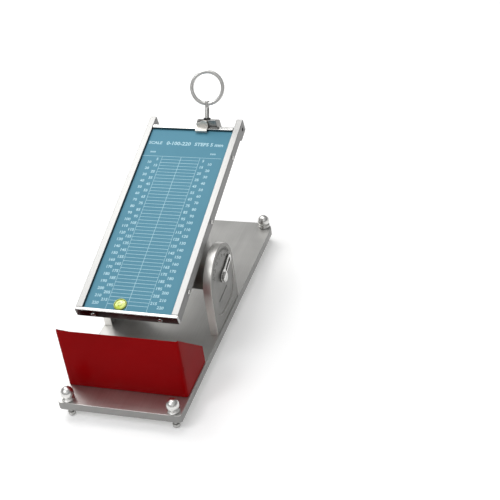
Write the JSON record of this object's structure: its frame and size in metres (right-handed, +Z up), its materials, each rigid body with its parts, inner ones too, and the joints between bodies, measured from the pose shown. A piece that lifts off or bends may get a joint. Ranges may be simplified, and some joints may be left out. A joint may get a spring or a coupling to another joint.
{
  "type": "rolling ball tack tester",
  "caption": "Bench tester for adhesive tape: a tilting board with a printed scale on two brackets, a ball catcher and a levelled base plate.",
  "frame": {"origin": "on the bench, under the middle of the base plate", "axes": "+Z up, +X to the tester's right-hand side (the side with the angle scale), +Y from the ball catcher to the back"},
  "size_m": [0.154, 0.374, 0.2513],
  "materials": {
    "satin_aluminium": "satin, fine grain along the length",
    "pale_aluminium": "pale anodised, satin",
    "red_sheet": "deep red high gloss on both sides",
    "blue_printed_plate": "matt blue with pale printed scale",
    "engraved_dial": "satin with engraved degree marks",
    "polished_steel": "polished",
    "dark_steel": "blackened",
    "bush_bronze": "turned",
    "level_cup": "moulded, yellow-green",
    "level_fluid": "clear, yellow-green"
  },
  "bodies": {
    "base": {"base_plate": "satin_aluminium", "ball_catcher": "red_sheet", "catcher_screw_left": "polished_steel", "catcher_screw_right": "polished_steel", "bracket_left": "satin_aluminium", "bracket_right": "satin_aluminium", "angle_scale": "engraved_dial", "pivot_bush_left": "bush_bronze", "pivot_bush_right": "bush_bronze", "bracket_screw_front_left": "dark_steel", "bracket_screw_front_right": "dark_steel", "bracket_screw_rear_left": "dark_steel", "bracket_screw_rear_right": "dark_steel"},
    "foot_front_left": {"levelling_foot_front_left": "polished_steel"},
    "screw_front_left": {"levelling_knob_front_left": "polished_steel"},
    "foot_front_right": {"levelling_foot_front_right": "polished_steel"},
    "screw_front_right": {"levelling_knob_front_right": "polished_steel"},
    "foot_rear_left": {"levelling_foot_rear_left": "polished_steel"},
    "screw_rear_left": {"levelling_knob_rear_left": "polished_steel"},
    "foot_rear_right": {"levelling_foot_rear_right": "polished_steel"},
    "screw_rear_right": {"levelling_knob_rear_right": "polished_steel"},
    "lock": {"lock_knob": "dark_steel"},
    "jaw": {"clamp_jaw": "pale_aluminium"},
    "pad": {"clamp_pad": "bush_bronze"},
    "ring": {"ring_screw": "polished_steel", "pull_ring": "polished_steel"},
    "board": {"angle_pointer": "polished_steel", "backing_plate": "satin_aluminium", "bottom_bar": "pale_aluminium", "bottom_bar_screw_left": "polished_steel", "bottom_bar_screw_right": "polished_steel", "clamp_block": "satin_aluminium", "clamp_block_screw_left": "polished_steel", "clamp_block_screw_right": "polished_steel", "jaw_pin": "polished_steel", "level_cup": "level_cup", "level_vial": "level_fluid", "lug_screw_front_left": "dark_steel", "lug_screw_front_right": "dark_steel", "lug_screw_rear_left": "dark_steel", "lug_screw_rear_right": "dark_steel", "pivot_lug_left": "satin_aluminium", "pivot_lug_right": "satin_aluminium", "pivot_shaft": "polished_steel", "pointer_nut": "polished_steel", "rail_end_screw_left": "dark_steel", "rail_end_screw_right": "dark_steel", "scale_plate": "blue_printed_plate", "screw_bush": "dark_steel", "shaft_spacer_left": "polished_steel", "shaft_spacer_right": "polished_steel", "side_rail_left": "pale_aluminium", "side_rail_right": "pale_aluminium", "side_screw_left_1": "polished_steel", "side_screw_left_2": "polished_steel", "side_screw_left_3": "polished_steel", "side_screw_right_1": "polished_steel", "side_screw_right_2": "polished_steel", "side_screw_right_3": "polished_steel", "top_bar": "pale_aluminium"}
  },
  "joints": [
    {"name": "board_tilt", "type": "hinge", "parent": "base", "child": "board", "pos_m": [0, -0.0095, 0.079], "axis": [1, 0, 0], "range_deg": [-17, 33]},
    {"name": "lock_knob_turn", "type": "hinge", "parent": "board", "child": "lock", "pos_m": [0, -0.0095, 0.079], "axis": [-1, 0, 0], "range_deg": [0, 90]},
    {"name": "foot_rise_front_left", "type": "slide", "parent": "base", "child": "foot_front_left", "axis": [0, 0, 1], "range_m": [0, 0.006]},
    {"name": "knob_turn_front_left", "type": "hinge", "parent": "foot_front_left", "child": "screw_front_left", "pos_m": [-0.0624, -0.1791, 0.02], "axis": [0, 0, 1], "range_deg": [0, 2160]},
    {"name": "foot_rise_front_right", "type": "slide", "parent": "base", "child": "foot_front_right", "axis": [0, 0, 1], "range_m": [0, 0.006]},
    {"name": "knob_turn_front_right", "type": "hinge", "parent": "foot_front_right", "child": "screw_front_right", "pos_m": [0.0624, -0.1791, 0.02], "axis": [0, 0, 1], "range_deg": [0, 2160]},
    {"name": "foot_rise_rear_left", "type": "slide", "parent": "base", "child": "foot_rear_left", "axis": [0, 0, 1], "range_m": [0, 0.006]},
    {"name": "knob_turn_rear_left", "type": "hinge", "parent": "foot_rear_left", "child": "screw_rear_left", "pos_m": [-0.0624, 0.1791, 0.02], "axis": [0, 0, 1], "range_deg": [0, 2160]},
    {"name": "foot_rise_rear_right", "type": "slide", "parent": "base", "child": "foot_rear_right", "axis": [0, 0, 1], "range_m": [0, 0.006]},
    {"name": "knob_turn_rear_right", "type": "hinge", "parent": "foot_rear_right", "child": "screw_rear_right", "pos_m": [0.0624, 0.1791, 0.02], "axis": [0, 0, 1], "range_deg": [0, 2160]},
    {"name": "pad_lift", "type": "slide", "parent": "board", "child": "pad", "axis": [0, 0.4226, 0.9063], "range_m": [0, 0.001]},
    {"name": "ring_turn", "type": "hinge", "parent": "pad", "child": "ring", "pos_m": [0.018, 0.14908, 0.1965], "axis": [0, 0.4226, 0.9063], "range_deg": [0, 360]},
    {"name": "jaw_open", "type": "hinge", "parent": "board", "child": "jaw", "pos_m": [0, 0.1524, 0.1904], "axis": [1, 0, 0], "range_deg": [-8, 0]}
  ],
  "couplings": [
    {"joint": "foot_rise_front_left", "follows": "knob_turn_front_left", "m_per_rad": 0.000159},
    {"joint": "foot_rise_front_right", "follows": "knob_turn_front_right", "m_per_rad": 0.000159},
    {"joint": "foot_rise_rear_left", "follows": "knob_turn_rear_left", "m_per_rad": 0.000159},
    {"joint": "foot_rise_rear_right", "follows": "knob_turn_rear_right", "m_per_rad": 0.000159},
    {"joint": "pad_lift", "follows": "ring_turn", "m_per_rad": 0.000159},
    {"joint": "jaw_open", "follows": "ring_turn", "ratio": -0.022222}
  ]
}
